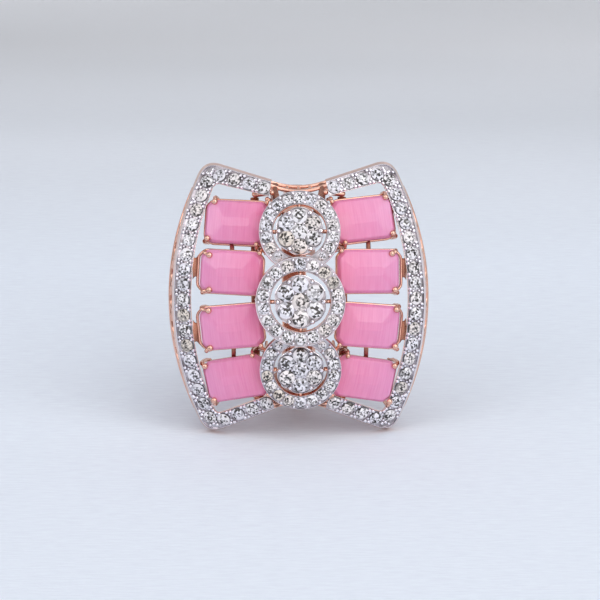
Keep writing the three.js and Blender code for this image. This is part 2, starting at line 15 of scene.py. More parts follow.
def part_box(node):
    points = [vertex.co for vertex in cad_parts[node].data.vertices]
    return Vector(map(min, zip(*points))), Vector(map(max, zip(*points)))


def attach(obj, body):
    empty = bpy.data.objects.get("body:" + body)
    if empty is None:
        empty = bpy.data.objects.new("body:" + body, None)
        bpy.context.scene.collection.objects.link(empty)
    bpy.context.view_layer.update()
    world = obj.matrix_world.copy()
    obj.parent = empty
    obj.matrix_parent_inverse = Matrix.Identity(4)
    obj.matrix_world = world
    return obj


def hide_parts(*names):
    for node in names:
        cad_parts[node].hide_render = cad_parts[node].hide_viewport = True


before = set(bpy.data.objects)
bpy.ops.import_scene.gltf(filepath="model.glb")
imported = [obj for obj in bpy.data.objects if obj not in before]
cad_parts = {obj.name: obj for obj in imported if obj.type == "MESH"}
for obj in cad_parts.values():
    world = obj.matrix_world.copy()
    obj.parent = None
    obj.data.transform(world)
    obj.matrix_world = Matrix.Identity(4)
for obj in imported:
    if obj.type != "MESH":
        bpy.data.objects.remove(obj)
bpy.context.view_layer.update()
random.seed(7)

MM = 0.001  # the scene is in metres

# ---------------------------------------------------------------- sizes, the CAD part's or close to them
BAND_INNER, BAND_THICK, BAND_WIDTH, SHOULDER_WIDTH, BAND_OPEN_Z = 8.65, 1.6, 2.4, 3.2, 4.2
BAND_OUTER = BAND_INNER + BAND_THICK
BAND_EDGE, BAND_ROUND = 0.12, 0.75  # how the bore's edges and the outside are rounded

DOME_RADIUS, DOME_TOP = 25.0, 15.0

SIDE_X, SIDE_RADIUS, RAIL_WIDTH = 11.75, 28.0, 1.62
ARM_ENDS = {1: ((2.55, 10.97), (2.8, 9.65)), -1: ((2.4, 10.25), (2.75, 8.8))}  # outer, inner corner
CORNER_OUTER, CORNER_INNER = (8.65, 12.8), (7.8, 10.85)
CORNER_CUT_OUTER, CORNER_CUT_INNER = 1.4, 0.5
RAIL_THICK, RAIL_FLARE, RAIL_LIP = 1.15, 0.19, 0.09
RAIL_STONE, RAIL_PITCH = 1.24, 1.43
BEAD, SMALL_BEAD, BEAD_INSET = 0.19, 0.13, 0.2  # radii, and how far in from the plate's edges

MEDALLION_PITCH, MEDALLION_TILT = 6.5, math.radians(12.5)
MIDDLE = {"radius": 4.18, "hole": 2.8, "dish": 2.5, "height": 16.1, "thick": 1.1, "stone": 1.13}
OUTER = {"radius": 3.81, "hole": 2.48, "dish": 2.28, "height": 14.7, "thick": 0.72, "stone": 1.04}
HALO_STONES = 18
DISH_THICK = 1.0
GIRDLE_DEPTH = 0.1

GEM_LENGTH, GEM_WIDTH, GEM_CUT = 6.0, 4.05, 0.62
GEM_STAND = 0.6  # how much of the dome's slope up the head a stone follows
GEM_ROWS = {  # row: x, z, turn in degrees, how far the girdle lies below the dome
    "1": (6.0, 7.45, 7, 0.68),
    "2": (6.5, 2.65, 2, 0.55),
    "3": (6.5, -2.5, 6, 0.55),
    "4": (6.0, -7.5, 12, 0.68),
}
HAND_SET = {  # the stones that sit a little off their row's place: x, z, turn
    "left_1": (0.0, -0.1, -2),
    "right_1": (0.12, 0.1, 1),
    "left_2": (0.0, 0.0, 1.5),
    "right_2": (0.05, 0.0, -2),
    "left_4": (0.15, 0.0, 0),
    "right_4": (0.15, -0.12, 0),
}
WIRE_LEVEL, WIRE_INSET, WIRE_OUTER_END = -0.38, 0.03, 0.34
WIRE_INSETS = {"1": -0.05, "4": 0.14}  # how far in the wire lies where a row differs
FOOT_LEVEL, FOOT_INSET = -1.72, 0.62
LINK_SINK = 0.22  # how far a link lies behind the wire

GALLERY_FOOT, GALLERY_RAIL, GALLERY_WALL = 8.72, 0.6, 0.6
GALLERY_BULGE, GALLERY_END_Z = 0.44, 10.35
GALLERY_WAVE, GALLERY_WAVE_END = 4.95, 9.9  # length of one wave, and where the two waves end

SPINE_X, SPINE_WIDTH, SPINE_THICK, SPINE_DROP, SPINE_END_Z = 4.1, 0.8, 0.75, 2.95, 9.3
POST_X_MIDDLE, POST_X_OUTER, POST_Z_OUTER = 3.9, 3.15, 4.65  # the posts' heads under the medallions
STRAP_OUTER = {"height": 10.6, "middle": 10.42, "rise": 0.068}
STRAP_INNER = {"height": 11.35, "middle": 10.02, "rise": 0.085}
STRAP_HALF, STRAP_RAIL, STRAP_DEPTH = 3.35, 0.36, 0.46
STRAP_BOTTOM_DROP = 0.6  # how much closer to the middle the bottom strap lies

SIDES = {"left": -1, "right": 1}
ENDS = {"top": 1, "bottom": -1}


# ---------------------------------------------------------------- the ring's place in the row frame
def middle_of(node):
    """The mean of a node's distinct vertices."""
    points = {tuple(round(c, 7) for c in v.co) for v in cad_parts[node].data.vertices}
    return sum((Vector(p) for p in points), Vector()) / len(points)


def ring_matrix():
    """The two outer halos mirror each other, so the line between them runs up the head."""
    up = middle_of("halo_top") - middle_of("halo_bottom")
    low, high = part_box("band")
    axis = Vector((0, high.y - BAND_OUTER * MM, low.z + BAND_OUTER * MM))
    return Matrix.Translation(axis) @ Matrix.Rotation(-math.atan2(up.y, up.z), 4, "X")


RING = ring_matrix()


def at(x, height, z):
    """A point of the ring's own frame, in millimetres."""
    return Vector((x, -height, z))


def dome_height(x, z):
    """The height of the sphere that the frames' upper faces follow."""
    return DOME_TOP - DOME_RADIUS + math.sqrt(DOME_RADIUS**2 - x * x - z * z)


def seat(position, out, along=(1, 0, 0)):
    """A frame with Z along `out` and X as near `along` as it can be."""
    z = Vector(out).normalized()
    x = Vector(along)
    x = (x - z * x.dot(z)).normalized()
    turn = Matrix((x, z.cross(x), z)).transposed().to_4x4()
    return Matrix.Translation(position) @ turn


def dome_seat(x, z, lift, along=(1, 0, 0)):
    """A seat square to the dome, `lift` above it."""
    out = Vector((x, -math.sqrt(DOME_RADIUS**2 - x * x - z * z), z)).normalized()
    return seat(at(x, dome_height(x, z), z) + out * lift, out, along)


# ---------------------------------------------------------------- mesh helpers
class Shape:
    """Faces gathered into one mesh, each with a material number."""

    def __init__(self):
        self.points, self.faces, self.kinds, self.shades = [], [], [], []

    def add(self, points, faces, kind=0, place=None, shades=None):
        start = len(self.points)
        self.points += [place @ p if place else p for p in points]
        self.faces += [[start + i for i in f] for f in faces]
        self.kinds += kind if isinstance(kind, list) else [kind] * len(faces)
        self.shades += shades if shades else [(0.5, 0.5, 0.5, 1)] * len(faces)


def loft(loops, closed=False):
    """Points and faces through a row of loops of the same size; an open row has end caps."""
    size = len(loops[0])
    points = [p for loop in loops for p in loop]
    faces = []
    for i in range(len(loops) if closed else len(loops) - 1):
        here, there = i * size, ((i + 1) % len(loops)) * size
        for j in range(size):
            k = (j + 1) % size
            faces.append([here + j, here + k, there + k, there + j])
    if not closed:
        faces.append(list(range(size))[::-1])
        faces.append([len(points) - size + j for j in range(size)])
    return points, faces


def rounded_section(width, height, radius):
    """A rounded rectangle as 2-D points."""
    points = []
    steps = 3  # in each corner
    for cx, cy, start in ((1, 1, 0), (-1, 1, 90), (-1, -1, 180), (1, -1, 270)):
        for i in range(steps + 1):
            angle = math.radians(start + 90 * i / steps)
            points.append(
                (
                    cx * (width / 2 - radius) + radius * math.cos(angle),
                    cy * (height / 2 - radius) + radius * math.sin(angle),
                )
            )
    return points


def sweep(path, section, across, closed=False):
    """A section carried along a path; its first axis stays as near `across` as it can.

    The section is a list of points, or a function of how far along the path it stands.
    """
    loops = []
    count = len(path)
    for i, p in enumerate(path):
        after = path[(i + 1) % count] if closed else path[min(i + 1, count - 1)]
        before = path[i - 1] if closed else path[max(i - 1, 0)]
        along = (after - before).normalized()
        a = (across - along * across.dot(along)).normalized()
        b = along.cross(a)
        shape = section(i / max(count - 1, 1)) if callable(section) else section
        loops.append([p + a * u + b * v for u, v in shape])
    return loft(loops, closed)


def waisted(width, flare, thick, radius):
    """A rounded section that widens by `flare` towards both ends of its path."""
    return lambda t: rounded_section(width + flare * (2 * t - 1) ** 2, thick, radius)


def straight(start, finish, steps):
    """A straight path with so many equal steps."""
    return [start.lerp(finish, i / steps) for i in range(steps + 1)]


def circle_section(radius, sides):
    turns = [2 * math.pi * i / sides for i in range(sides)]
    return [(radius * math.cos(a), radius * math.sin(a)) for a in turns]


def tube(path, radius, sides=14):
    """A round wire; `radius` is a number or one radius for each point of the path."""
    across = Vector((0.31, 0.17, 0.93))  # any direction that no wire runs along
    if isinstance(radius, list):
        last = len(radius) - 1
        return sweep(path, lambda t: circle_section(radius[round(t * last)], sides), across)
    return sweep(path, circle_section(radius, sides), across)


def ball(centre, radius, sides=14, squash=1.0, out=Vector((0, 0, 1))):
    """A ball, flattened along `out`."""
    rings = sides // 2
    place = seat(centre, out, (0.9, 0.2, 0.1))
    points = [Vector((0, 0, radius * squash))]
    for i in range(1, rings):
        a = math.pi * i / rings
        for j in range(sides):
            b = 2 * math.pi * j / sides
            across = radius * math.sin(a)
            z = radius * math.cos(a) * squash
            points.append(Vector((across * math.cos(b), across * math.sin(b), z)))
    points.append(Vector((0, 0, -radius * squash)))
    faces = [[0, 1 + j, 1 + (j + 1) % sides] for j in range(sides)]
    for i in range(rings - 2):
        here, there = 1 + i * sides, 1 + (i + 1) * sides
        for j in range(sides):
            k = (j + 1) % sides
            faces.append([here + j, there + j, there + k, here + k])
    last, foot = 1 + (rings - 2) * sides, len(points) - 1
    faces += [[foot, last + (j + 1) % sides, last + j] for j in range(sides)]
    return [place @ p for p in points], faces


def turned(section, segments):
    """Loops of a closed section, [(radius, z)], turned once round Z."""
    loops = []
    for i in range(segments):
        a = 2 * math.pi * i / segments
        loops.append([Vector((r * math.cos(a), r * math.sin(a), z)) for r, z in section])
    return loft(loops, closed=True)


def make(name, shape, materials, nodes, place=None, crease=35, flat=False):
    """The shape as a piece that rides on the ring and stands for the CAD nodes."""
    mesh = bpy.data.meshes.new(name)
    to_metres = Matrix.Scale(MM, 4) if place else RING @ Matrix.Scale(MM, 4)
    mesh.from_pydata([to_metres @ p for p in shape.points], [], shape.faces)
    for m in materials:
        mesh.materials.append(m)
    mesh.polygons.foreach_set("material_index", shape.kinds)
    colours = mesh.color_attributes.new("facet", "FLOAT_COLOR", "CORNER")
    for polygon, shade in zip(mesh.polygons, shape.shades):
        for i in polygon.loop_indices:
            colours.data[i].color = shade
    cleaned = bmesh.new()
    cleaned.from_mesh(mesh)
    bmesh.ops.recalc_face_normals(cleaned, faces=cleaned.faces)
    cleaned.to_mesh(mesh)
    cleaned.free()
    mesh.polygons.foreach_set("use_smooth", [not flat] * len(mesh.polygons))
    if not flat:
        mesh.set_sharp_from_angle(angle=math.radians(crease))
    piece = bpy.data.objects.new(name, mesh)
    bpy.context.scene.collection.objects.link(piece)
    if place:
        move = Matrix.Translation(place.translation * MM) @ place.to_3x3().to_4x4()
        piece.matrix_world = RING @ move
    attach(piece, "root")
    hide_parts(*nodes)
    return piece


# ---------------------------------------------------------------- materials
class Nodes:
    """A material's node tree, with short calls to add and join nodes."""

    def __init__(self, name):
        self.material = bpy.data.materials.new(name)
        self.material.use_nodes = True
        self.tree = self.material.node_tree
        self.shader = self.tree.nodes["Principled BSDF"]

    def add(self, kind, **settings):
        node = self.tree.nodes.new(kind)
        for key, value in settings.items():
            if key in node.inputs:
                node.inputs[key].default_value = value
            else:
                setattr(node, key, value)
        return node

    def join(self, a, b):
        self.tree.links.new(a, b)

    def set(self, **values):
        for key, value in values.items():
            self.shader.inputs[key.replace("_", " ")].default_value = value

    def noise(self, scale, detail=2.0, stretch=(1, 1, 1)):
        """Noise in object space, in features per millimetre."""
        place = self.add("ShaderNodeTexCoord")
        mapping = self.add("ShaderNodeMapping")
        mapping.inputs["Scale"].default_value = [s * scale / MM for s in stretch]
        noise = self.add("ShaderNodeTexNoise", Scale=1.0, Detail=detail)
        self.join(place.outputs["Object"], mapping.inputs["Vector"])
        self.join(mapping.outputs["Vector"], noise.inputs["Vector"])
        return noise.outputs["Fac"]

    def along(self, axis, start, end):
        """How far a point lies between two object coordinates in millimetres, from 0 to 1."""
        place = self.add("ShaderNodeTexCoord")
        split = self.add("ShaderNodeSeparateXYZ")
        node = self.add("ShaderNodeMapRange")
        node.inputs["From Min"].default_value = start * MM
        node.inputs["From Max"].default_value = end * MM
        self.join(place.outputs["Object"], split.inputs["Vector"])
        self.join(split.outputs[axis], node.inputs["Value"])
        return node.outputs["Result"]

    def ramp(self, value, *stops):
        ramp = self.add("ShaderNodeValToRGB")
        elements = ramp.color_ramp.elements
        while len(elements) < len(stops):
            elements.new(0.5)
        for element, (position, colour) in zip(elements, stops):
            element.position = position
            element.color = (*colour, 1)
        self.join(value, ramp.inputs["Fac"])
        return ramp.outputs["Color"]

    def range(self, value, low, high):
        node = self.add("ShaderNodeMapRange")
        node.inputs["To Min"].default_value = low
        node.inputs["To Max"].default_value = high
        self.join(value, node.inputs["Value"])
        return node.outputs["Result"]

    def bump(self, height, distance, strength=1.0):
        node = self.add("ShaderNodeBump", Strength=strength)
        node.inputs["Distance"].default_value = distance * MM
        self.join(height, node.inputs["Height"])
        self.join(node.outputs["Normal"], self.shader.inputs["Normal"])


def polished_metal(name, light, dark, rough):
    """Cast and polished metal: faint tarnish in patches, fine polishing marks."""
    n = Nodes(name)
    n.set(Metallic=1.0)
    n.join(n.ramp(n.noise(0.9), (0.35, dark), (0.65, light)), n.shader.inputs["Base Color"])
    n.join(n.range(n.noise(3.0, 3.0), rough * 0.7, rough * 1.4), n.shader.inputs["Roughness"])
    n.bump(n.noise(5.0, 3.0), 0.012, 0.5)
    return n.material


def pink_stone():
    """Pink stone with fine fibres across its length and a soft glow under the polish."""
    n = Nodes("pink_stone")
    fibres = n.noise(1.0, 3.0, (7.0, 0.35, 1.5))
    outer = n.ramp(fibres, (0.3, (0.75, 0.28, 0.50)), (0.7, (0.80, 0.34, 0.56)))
    inner = n.ramp(fibres, (0.3, (0.80, 0.22, 0.40)), (0.7, (0.85, 0.28, 0.46)))
    mix = n.add("ShaderNodeMix", data_type="RGBA")
    n.join(n.range(n.along("X", -3.0, 3.0), 0.0, 1.0), mix.inputs["Factor"])
    n.join(inner, mix.inputs["A"])
    n.join(outer, mix.inputs["B"])
    n.join(mix.outputs["Result"], n.shader.inputs["Base Color"])
    n.set(Roughness=0.12, IOR=1.54, Subsurface_Weight=0.3, Subsurface_Scale=0.0012)
    n.shader.inputs["Subsurface Radius"].default_value = (1.0, 0.35, 0.6)
    n.bump(n.noise(0.7, 2.0), 0.01, 0.4)
    return n.material


def diamond():
    """Each facet carries its own brightness in its colour: painted light and shade, standing in for the light
    that comes back through the stone.
    """
    n = Nodes("diamond")
    facet = n.add("ShaderNodeVertexColor", layer_name="facet")
    n.join(facet.outputs["Color"], n.shader.inputs["Base Color"])
    n.set(Roughness=0.06, IOR=2.0, Specular_IOR_Level=0.3)
    return n.material


ROSE = polished_metal("rose_gold", (0.86, 0.52, 0.41), (0.76, 0.44, 0.34), 0.1)
WHITE = polished_metal("white_rhodium", (0.95, 0.92, 0.96), (0.86, 0.82, 0.87), 0.12)
# White rhodium darkened as painted shade, for the floors of the troughs and seats between and under the
# diamonds.
RHODIUM_PAINTED_SHADE = polished_metal("white_rhodium_painted_shade", (0.60, 0.56, 0.59), (0.26, 0.23, 0.24), 0.22)
# Rose gold darkened as painted shade, for the pins, foot wires, bars, links, under-rails and strap legs that
# lie deep behind the frames and stones.
ROSE_PAINTED_SHADE = polished_metal("rose_gold_shaded", (0.42, 0.19, 0.13), (0.35, 0.15, 0.10), 0.25)
PINK = pink_stone()
DIAMOND = diamond()
# Material numbers; the third and fourth are white rhodium and rose gold darkened as painted shade.
ROSE_KIND, WHITE_KIND, RHODIUM_SHADE_KIND, ROSE_SHADE_KIND = 0, 1, 2, 3
METALS = [ROSE, WHITE, RHODIUM_PAINTED_SHADE, ROSE_PAINTED_SHADE]

# ---------------------------------------------------------------- diamonds and beads
TINTS = [(1.0, 0.97, 1.0), (0.95, 0.93, 1.0), (1.0, 0.94, 0.94), (0.95, 0.87, 0.84), (0.88, 0.79, 0.71)]
TINT_WEIGHTS = [8, 6, 4, 2, 1]


def brightness(bright, dark):
    """A facet's painted brightness, as painted highlight or painted shade: bright, dark or between, by their
    shares.
    """
    pick = random.random()
    if pick < bright:
        return random.uniform(0.9, 1.0)
    if pick < bright + dark:
        return random.uniform(0.01, 0.06)
    return random.uniform(0.26, 0.6)


def add_brilliant(shape, place, size):
    """A round brilliant with a plain pavilion; each facet of its crown has one painted shade, from bright
    highlight to dark.
    """

    def ring_of(radius, z, offset):
        turns = [math.radians(45 * k + offset) for k in range(8)]
        return [Vector((radius * math.cos(a) * size, radius * math.sin(a) * size, z * size)) for a in turns]

    tint = random.choices(TINTS, TINT_WEIGHTS)[0]
    body = random.uniform(0.88, 1.0)
    inner = ring_of(0.15, 0.157, 22.5)
    table = ring_of(0.285, 0.155, 0)
    star = ring_of(0.39, 0.108, 22.5)
    main = ring_of(0.5, 0.02, 0)
    between = ring_of(0.5, 0.02, 22.5)
    centre = [Vector((0, 0, 0.158 * size)), Vector((0, 0, -0.42 * size))]
    points = inner + table + star + main + between + centre
    i0, t0, s0, m0, b0, top, foot = 0, 8, 16, 24, 32, 40, 41
    faces, shades = [], []

    def face(corners, value):
        faces.append(corners)
        # Dark facets get a warm tint, a painted reflection of the gold behind the stone.
        warm = (1.0, 0.8, 0.7) if value < 0.1 else (1.0, 1.0, 1.0)
        shades.append((*(c * w * value * body for c, w in zip(tint, warm)), 1))

    for k in range(8):
        n = (k + 1) % 8
        if k % 2 == 0:
            core = brightness(0.35, 0.35)  # two neighbours at the table's centre share a shade
        face([top, i0 + k, i0 + n], core)
        face([i0 + k, t0 + k, t0 + n], brightness(0.45, 0.3))
        face([i0 + k, t0 + n, i0 + n], brightness(0.3, 0.4))
        face([t0 + k, s0 + k, t0 + n], brightness(0.55, 0.2))
        face([t0 + k, m0 + k, s0 + k], brightness(0.5, 0.25))
        face([t0 + n, s0 + k, m0 + n], brightness(0.5, 0.25))
        rim = brightness(0.65, 0.1)
        face([s0 + k, m0 + k, b0 + k], rim)
        face([s0 + k, b0 + k, m0 + n], rim)
        face([foot, b0 + k, m0 + k], 0.5)
        face([foot, m0 + n, b0 + k], 0.5)
    spin = Matrix.Rotation(random.uniform(0, math.pi / 4), 4, "Z")
    shape.add(points, faces, 0, place @ spin, shades)


def add_beads(shape, place, spots, radius):
    """Small metal beads that hold the diamonds, at (x, y) spots of a frame."""
    for x, y in spots:
        centre = place @ Vector((x, y, -0.02))
        out = place.to_3x3() @ Vector((0, 0, 1))
        shape.add(*ball(centre, radius, 10, 1.0, out), WHITE_KIND)


# ---------------------------------------------------------------- band
def band_section(width):
    """The band's section, (x, distance from the bore): flat inside and rounded outside."""
    section = [(-width / 2 + BAND_EDGE, 0.0), (width / 2 - BAND_EDGE, 0.0), (width / 2, BAND_EDGE)]
    for i in range(13):
        a = math.pi * i / 12
        x = math.copysign(math.sqrt(abs(math.cos(a))), math.cos(a)) * width / 2
        section.append((x, BAND_THICK - BAND_ROUND + BAND_ROUND * math.sin(a)))
    section.append((-width / 2, BAND_EDGE))
    return section


def band():
    """The finger band, open under the head and wider towards that opening."""
    middle_radius = BAND_INNER + BAND_THICK / 2
    opening = math.asin(BAND_OPEN_Z / middle_radius)
    loops = []
    for i in range(161):
        angle = opening + (2 * math.pi - 2 * opening) * i / 160
        t = min(max(math.cos(angle) / math.cos(opening), 0), 1)
        width = BAND_WIDTH + (SHOULDER_WIDTH - BAND_WIDTH) * t * t * (3 - 2 * t)
        loops.append(
            [
                at(x, (BAND_INNER + r) * math.cos(angle), (BAND_INNER + r) * math.sin(angle))
                for x, r in band_section(width)
            ]
        )
    shape = Shape()
    shape.add(*loft(loops), ROSE_KIND)
    make("shank", shape, METALS, ["band"])


band()


# ---------------------------------------------------------------- pave frames
def on_circle(edge_x, radius, z):
    """The x of a bulging side that is `edge_x` wide at its middle."""
    return edge_x - radius + math.sqrt(radius**2 - z * z)


def frame_edge(arm_end, corner, cut, side_x, side_radius):
    """Half of one edge in plan, from the arm's end round the corner to the side's middle."""
    start, tip = Vector(arm_end), Vector(corner)
    arm_cut = tip + (start - tip).normalized() * cut
    side_cut_z = tip.y - cut * 0.9
    side_cut = Vector((on_circle(side_x, side_radius, side_cut_z), side_cut_z))
    edge = [start.lerp(arm_cut, i / 10) for i in range(10)]
    for i in range(13):
        t = i / 12
        edge.append(arm_cut * (1 - t) ** 2 + tip * 2 * t * (1 - t) + side_cut * t * t)
    for i in range(1, 25):
        z = side_cut_z * (1 - i / 24)
        edge.append(Vector((on_circle(side_x, side_radius, z), z)))
    return edge


HALF_OUTER = {
    end: frame_edge(ARM_ENDS[end][0], CORNER_OUTER, CORNER_CUT_OUTER, SIDE_X, SIDE_RADIUS) for end in (1, -1)
}
HALF_INNER = {
    end: frame_edge(
        ARM_ENDS[end][1], CORNER_INNER, CORNER_CUT_INNER, SIDE_X - RAIL_WIDTH, SIDE_RADIUS - RAIL_WIDTH
    )
    for end in (1, -1)
}


def both_halves(halves):
    """A whole edge, from the top arm's end to the bottom one's."""
    return halves[1] + [Vector((p.x, -p.y)) for p in halves[-1][-2::-1]]


def plate_section(width, thick, flare):
    """A trough with lips: distance inwards, drop and the material of the run that starts there."""
    floor, lip = 0.15, RAIL_LIP
    return [
        (-flare, thick, ROSE_KIND),
        (-flare * 0.55, thick * 0.5, ROSE_KIND),
        (-0.01, 0.15, ROSE_KIND),
        (0.0, 0.07, WHITE_KIND),
        (0.02, 0.02, WHITE_KIND),
        (0.04, 0.0, WHITE_KIND),
        (lip - 0.03, 0.0, WHITE_KIND),
        (lip - 0.015, 0.03, WHITE_KIND),
        (lip, floor, RHODIUM_SHADE_KIND),
        (width - lip, floor, WHITE_KIND),
        (width - lip + 0.015, 0.03, WHITE_KIND),
        (width - lip + 0.035, 0.0, WHITE_KIND),
        (width - 0.04, 0.0, ROSE_KIND),
        (width - 0.01, 0.03, ROSE_KIND),
        (width, 0.08, ROSE_KIND),
        (width, thick, ROSE_KIND),
    ]


def section_kinds(section, loops, closed=False):
    """The material numbers of a loft's faces, in the order loft() makes them."""
    rows = loops if closed else loops - 1
    kinds = [kind for _ in range(rows) for _, _, kind in section]
    return kinds if closed else kinds + [WHITE_KIND, WHITE_KIND]


def frame_plate(side):
    """Points, faces and materials of a frame's trough, laid on the dome."""
    loops = []
    for outer, inner in zip(both_halves(HALF_OUTER), both_halves(HALF_INNER)):
        width = (outer - inner).length
        loop = []
        for inwards, drop, _ in plate_section(width, RAIL_THICK, RAIL_FLARE):
            p = outer.lerp(inner, inwards / width)
            loop.append(at(side * p.x, dome_height(p.x, p.y) - drop, p.y))
        loops.append(loop)
    points, faces = loft(loops)
    section = plate_section(RAIL_WIDTH, RAIL_THICK, RAIL_FLARE)
    return points, faces, section_kinds(section, len(loops))


def half_stones(end):
    """Plan positions and rail widths at the diamonds from the side's middle to one arm's end."""
    edges = zip(HALF_OUTER[end], HALF_INNER[end])
    line = [(o.lerp(i, 0.5), (o - i).length) for o, i in edges][::-1]
    length = sum((b[0] - a[0]).length for a, b in zip(line, line[1:])) - RAIL_STONE * 0.52
    pitch = length / round(length / RAIL_PITCH)
    stones = []
    ahead, passed = pitch, 0.0
    for (a, wide_a), (b, wide_b) in zip(line, line[1:]):
        step = (b - a).length
        while passed + step >= ahead and ahead < length + 0.01:
            t = (ahead - passed) / step
            p = a.lerp(b, t)
            stones.append((Vector((p.x, end * p.y)), wide_a + (wide_b - wide_a) * t))
            ahead += pitch
        passed += step
    return stones


def frame_stones():
    """One frame's diamonds from its upper arm to its lower one."""
    middle = HALF_OUTER[1][-1].lerp(HALF_INNER[1][-1], 0.5)
    return half_stones(1)[::-1] + [(middle, RAIL_WIDTH)] + half_stones(-1)


def inside_outline(point, margin):
    """Whether a plan point lies inside the frame's outer edge by the margin."""
    here = Vector((point.x, abs(point.y)))
    nearest = min(HALF_OUTER[1 if point.y > 0 else -1], key=lambda p: (p - here).length)
    return (nearest - here).length > margin and nearest.length > here.length


def pave_frame(name, side):
    """A frame's plate with its diamonds, four large and two small beads between neighbours."""
    plate = Shape()
    points, faces, kinds = frame_plate(side)
    plate.add(points, faces, kinds)
    stones = frame_stones()
    gems = Shape()
    for (a, wide_a), (b, wide_b) in zip(stones, stones[1:]):
        middle, width = (a + b) / 2, (wide_a + wide_b) / 2
        along = (b - a).normalized()
        place = dome_seat(side * middle.x, middle.y, 0.0, (side * along.x, 0, along.y))
        across = width / 2 - BEAD_INSET
        pairs = [(x, y) for x in (-BEAD, BEAD) for y in (-across, across)]
        add_beads(plate, place, pairs, BEAD)
        inner = across - 0.3
        add_beads(plate, place, [(0.0, inner), (0.0, -inner)], SMALL_BEAD)
    for p, width in stones:
        size = min(RAIL_STONE, (width - 2 * RAIL_LIP) / math.cos(math.asin(p.length / DOME_RADIUS)))
        place = dome_seat(side * p.x, p.y, -GIRDLE_DEPTH + 0.04)
        add_brilliant(gems, place, size)
        if width > size + 0.42:  # at a corner, where the plate is wider: beads round the outside
            out = p.normalized() * (size / 2 + 0.14)
            for swing in (-0.75, -0.25, 0.25, 0.75):
                spot = p + out @ Matrix.Rotation(swing, 2)
                if inside_outline(spot, 0.2):
                    add_beads(plate, dome_seat(side * spot.x, spot.y, 0.0), [(0.0, 0.0)], 0.18)
    make(f"pave_frame_{name}", plate, METALS, [f"frame_{name}"])
    make(f"pave_stones_{name}", gems, [DIAMOND], [f"frame_{name}_diamonds"], flat=True)


for side_name, side_sign in SIDES.items():
    pave_frame(side_name, side_sign)


# ---------------------------------------------------------------- side galleries
def gallery_depth(z):
    """How far the plate's underside lies above the gallery's foot."""
    x = on_circle(SIDE_X, SIDE_RADIUS, z)
    return dome_height(x, z) - RAIL_THICK - GALLERY_FOOT


def gallery(name, side):
    """A foot rail and two waves that cross, leaving leaf-shaped holes."""
    shape = Shape()

    def foot_x(z):
        share = max(0.0, gallery_depth(z) / gallery_depth(0))
        return on_circle(SIDE_X, SIDE_RADIUS, z) + RAIL_FLARE + GALLERY_BULGE * share - GALLERY_WALL / 2

    path = []
    for i in range(61):
        z = -GALLERY_END_Z + 2 * GALLERY_END_Z * i / 60
        path.append(at(side * foot_x(z), GALLERY_FOOT + GALLERY_RAIL / 2, z))
    shape.add(*sweep(path, rounded_section(0.4, 0.58, 0.18), Vector((side, 0, 0))), ROSE_KIND)
    for phase in (0, math.pi):
        wave = []
        for i in range(161):
            z = -GALLERY_WAVE_END + 2 * GALLERY_WAVE_END * i / 160
            share = 0.5 + 0.5 * math.cos(2 * math.pi * z / GALLERY_WAVE + phase)
            low = GALLERY_FOOT + GALLERY_RAIL * 0.6
            high = GALLERY_FOOT + gallery_depth(z) - 0.2
            height = low + max(high - low, 0) * share
            head_x = on_circle(SIDE_X, SIDE_RADIUS, z) - 0.1
            t = (height - GALLERY_FOOT) / max(gallery_depth(z), 0.5)
            wave.append(at(side * (foot_x(z) + (head_x - foot_x(z)) * min(t, 1)), height, z))
        shape.add(*sweep(wave, rounded_section(0.42, 0.34, 0.12), Vector((side, 0, 0))), ROSE_KIND)
    make(f"side_gallery_{name}", shape, METALS, [f"gallery_{name}"])


for side_name, side_sign in SIDES.items():
    gallery(side_name, side_sign)


# ---------------------------------------------------------------- medallions
def medallion_seat(spec, end):
    """The seat of a medallion: Z out of its face, X across the head."""
    tilt = end * MEDALLION_TILT
    return seat(at(0, spec["height"], end * MEDALLION_PITCH), (0, -math.cos(tilt), math.sin(tilt)))


def cut_by_middle(piece):
    """Takes the middle medallion's space out of an outer medallion."""
    bpy.ops.mesh.primitive_cylinder_add(vertices=128, radius=(MIDDLE["radius"] + 0.02) * MM, depth=8 * MM)
    cutter = bpy.context.object
    lie_down = Matrix.Rotation(math.pi / 2, 4, "X")
    cutter.matrix_world = RING @ Matrix.Translation(at(0, MIDDLE["height"], 0) * MM) @ lie_down
    bpy.context.view_layer.update()
    cut = piece.modifiers.new("cut", "BOOLEAN")
    cut.operation, cut.solver, cut.object = "DIFFERENCE", "EXACT", cutter
    evaluated = piece.evaluated_get(bpy.context.evaluated_depsgraph_get())
    mesh = bpy.data.meshes.new_from_object(evaluated)
    piece.modifiers.clear()
    piece.data = mesh
    mesh.name = piece.name
    bpy.data.objects.remove(cutter)


def halo_seat(spec, end, place, pitches):
    """A seat on the halo's middle circle, so many pitches on from its far end, and its free room."""
    circle = (spec["radius"] + spec["hole"]) / 2
    far = -1 if end < 0 else 1
    angle = math.pi / 2 + 2 * math.pi * pitches / HALO_STONES
    spot = Vector((circle * math.cos(angle), far * circle * math.sin(angle), 0))
    centre = place @ spot
    room = math.hypot(centre.x, centre.z) - MIDDLE["radius"] if end else math.inf
    turn = Matrix.Rotation(math.atan2(spot.y, spot.x), 4, "Z")
    return place @ Matrix.Translation(spot) @ turn, room


